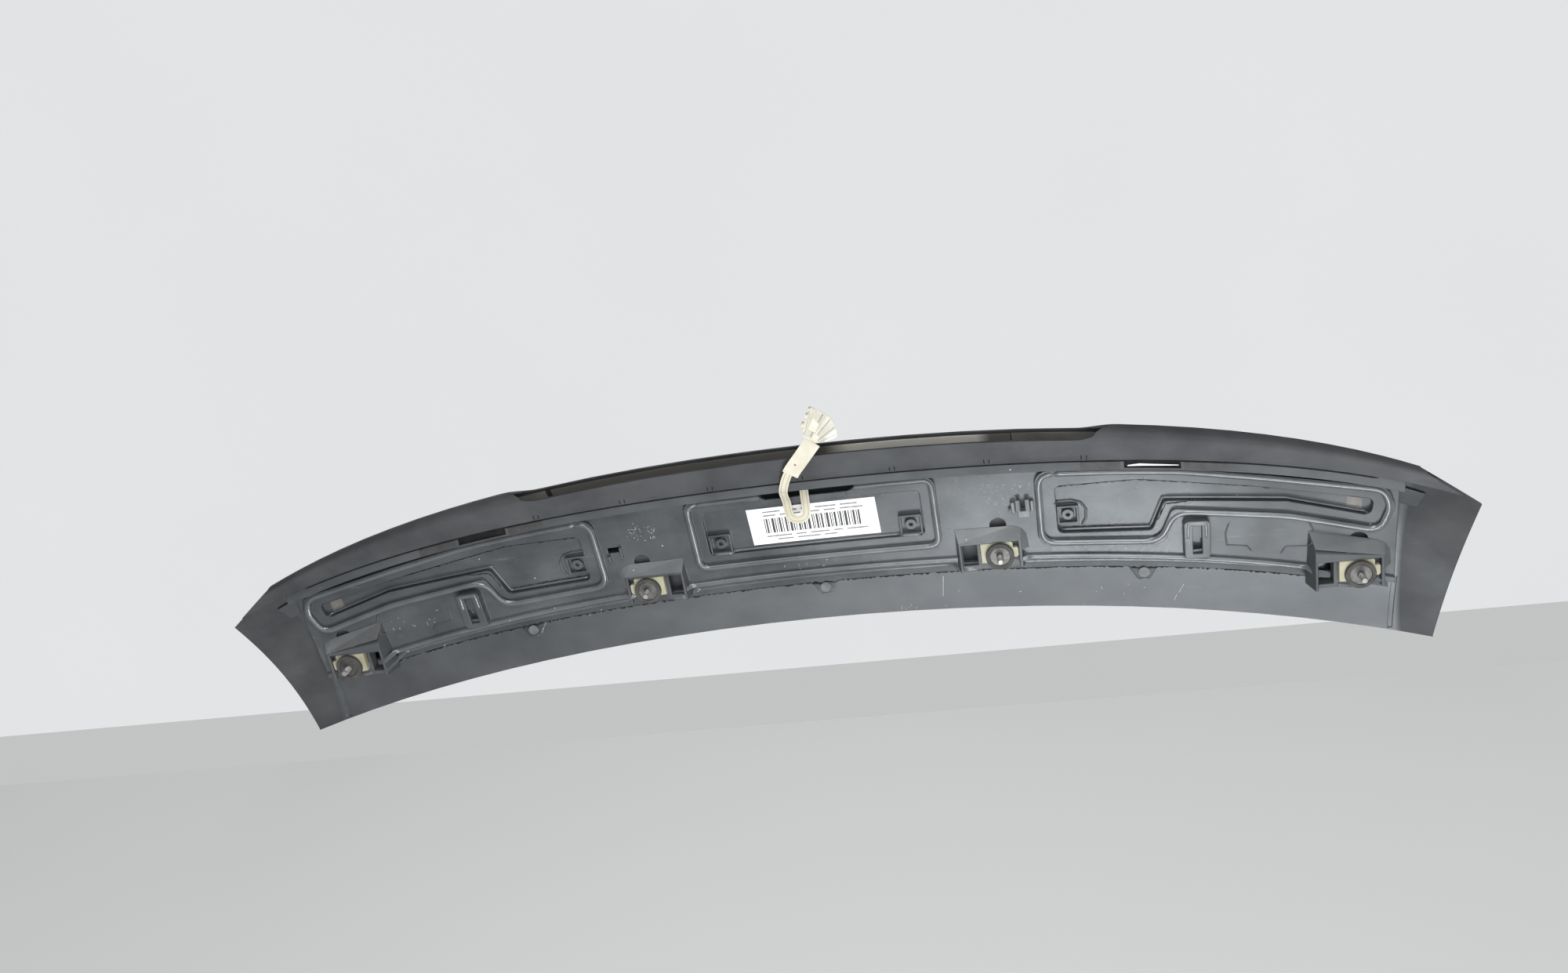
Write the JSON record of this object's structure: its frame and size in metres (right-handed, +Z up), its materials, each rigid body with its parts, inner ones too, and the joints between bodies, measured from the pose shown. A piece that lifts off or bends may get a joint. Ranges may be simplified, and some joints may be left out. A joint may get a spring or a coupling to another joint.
{
  "type": "tailgate spoiler",
  "caption": "Curved tailgate spoiler with a painted skin, black ribbed inner moulding, stud fixings with seals, a rear lamp recess and a flat film lead.",
  "frame": {"origin": "midway between the two inner studs, in the plane of their washers' outer faces", "axes": "as fitted on the car: +X to the car's right, +Y forward to the leading edge, +Z up; the studs point along -Z"},
  "size_m": [1.132, 0.2962, 0.0974],
  "materials": {
    "paint": "satin dark grey metallic paint",
    "black_moulding": "glossy moulded, scuffed",
    "pale_plastic": "moulded, natural colour",
    "steel": "zinc plated",
    "rubber": "matt foam rubber",
    "film": "printed film",
    "ivory_plastic": "translucent moulded",
    "paper": "paper"
  },
  "bodies": {
    "root": {"outer_skin": "paint", "inner_shell": "black_moulding", "weld_stakes": "black_moulding", "locating_clip_right": "black_moulding", "antenna_film": "film", "film_lead": "film", "lead_connector": "ivory_plastic", "label": "paper", "clip_left_outer": "pale_plastic", "stud_left_outer": "steel", "washer_left_outer": "steel", "seal_left_outer": "rubber", "clip_left_inner": "pale_plastic", "stud_left_inner": "steel", "washer_left_inner": "steel", "seal_left_inner": "rubber", "clip_right_inner": "pale_plastic", "stud_right_inner": "steel", "washer_right_inner": "steel", "seal_right_inner": "rubber", "clip_right_outer": "pale_plastic", "stud_right_outer": "steel", "washer_right_outer": "steel", "seal_right_outer": "rubber"}
  },
  "joints": []
}
